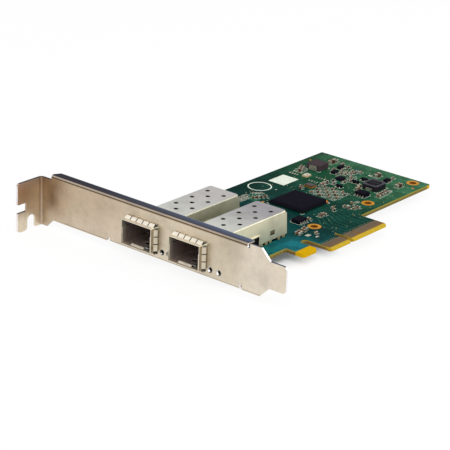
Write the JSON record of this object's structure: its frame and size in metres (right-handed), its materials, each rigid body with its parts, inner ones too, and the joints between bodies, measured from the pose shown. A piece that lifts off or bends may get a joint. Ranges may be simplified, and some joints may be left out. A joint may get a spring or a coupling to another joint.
{
  "type": "network interface card",
  "caption": "Expansion card with a green circuit board, a folded steel bracket and two open cages for pluggable optical transceivers, with a stepped gold edge connector.",
  "frame": {"origin": "middle of the bottom of the card's bounding box, with the card lying component side up", "axes": "+X from the bracket to the tail of the board, +Y towards the folded screw tab (the edge connector faces -Y), +Z out of the component side of the board"},
  "size_m": [0.147, 0.12, 0.0219],
  "materials": {
    "solder_mask": "semi-gloss green solder mask over glass fibre laminate",
    "gold_plating": "satin gold plating",
    "nickel_plated_steel": "satin nickel plate with fine roller lines",
    "screw_steel": "bright zinc plate",
    "cage_alloy": "satin nickel silver",
    "spring_alloy": "bright spring steel",
    "connector_plastic": "moulded black",
    "lamp_plastic": "moulded white",
    "lamp_lens": "clear",
    "package_plastic": "fine matt epoxy",
    "package_laminate": "dark green laminate",
    "solder_tin": "bright tin",
    "inductor_composite": "pressed iron powder",
    "ferrite": "dark ferrite",
    "capacitor_ceramic": "fired brown ceramic",
    "resistor_ceramic": "dark glaze over white ceramic",
    "crystal_lid_metal": "satin kovar",
    "crystal_ceramic": "fired cream ceramic",
    "legend_ink": "white screen printed ink"
  },
  "bodies": {
    "root": {"printed_circuit_board": "solder_mask", "plated_holes": "gold_plating", "component_side_contacts": "gold_plating", "solder_side_contacts": "gold_plating", "mounting_bracket": "nickel_plated_steel", "bracket_screws": "screw_steel", "status_led_housings": "lamp_plastic", "status_led_lenses": "lamp_lens", "cage_upper_shell_1": "cage_alloy", "cage_upper_shell_2": "cage_alloy", "cage_base_1": "cage_alloy", "cage_base_2": "cage_alloy", "emi_spring_collar_1": "spring_alloy", "emi_spring_collar_2": "spring_alloy", "host_connector_housing_1": "connector_plastic", "host_connector_housing_2": "connector_plastic", "host_connector_contacts_1": "gold_plating", "host_connector_contacts_2": "gold_plating", "controller_substrate": "package_laminate", "controller_mould_cap": "package_plastic", "controller_solder_balls": "solder_tin", "small_outline_chip_bodies": "package_plastic", "small_outline_chip_leads": "solder_tin", "transistor_bodies": "package_plastic", "transistor_leads": "solder_tin", "regulator_bodies": "package_plastic", "regulator_leads": "solder_tin", "moulded_inductor_core": "inductor_composite", "moulded_inductor_terminals": "solder_tin", "shielded_inductor_core": "ferrite", "shielded_inductor_terminals": "solder_tin", "crystal_base": "crystal_ceramic", "crystal_lid": "crystal_lid_metal", "leadless_regulator_body": "package_plastic", "leadless_regulator_pads": "solder_tin", "large_capacitor_bodies": "capacitor_ceramic", "large_capacitor_terminals": "solder_tin", "medium_capacitor_bodies": "capacitor_ceramic", "medium_capacitor_terminals": "solder_tin", "small_capacitor_bodies": "capacitor_ceramic", "small_capacitor_terminals": "solder_tin", "small_resistor_bodies": "resistor_ceramic", "small_resistor_terminals": "solder_tin", "decoupling_capacitor_bodies": "capacitor_ceramic", "decoupling_capacitor_terminals": "solder_tin"}
  },
  "joints": []
}
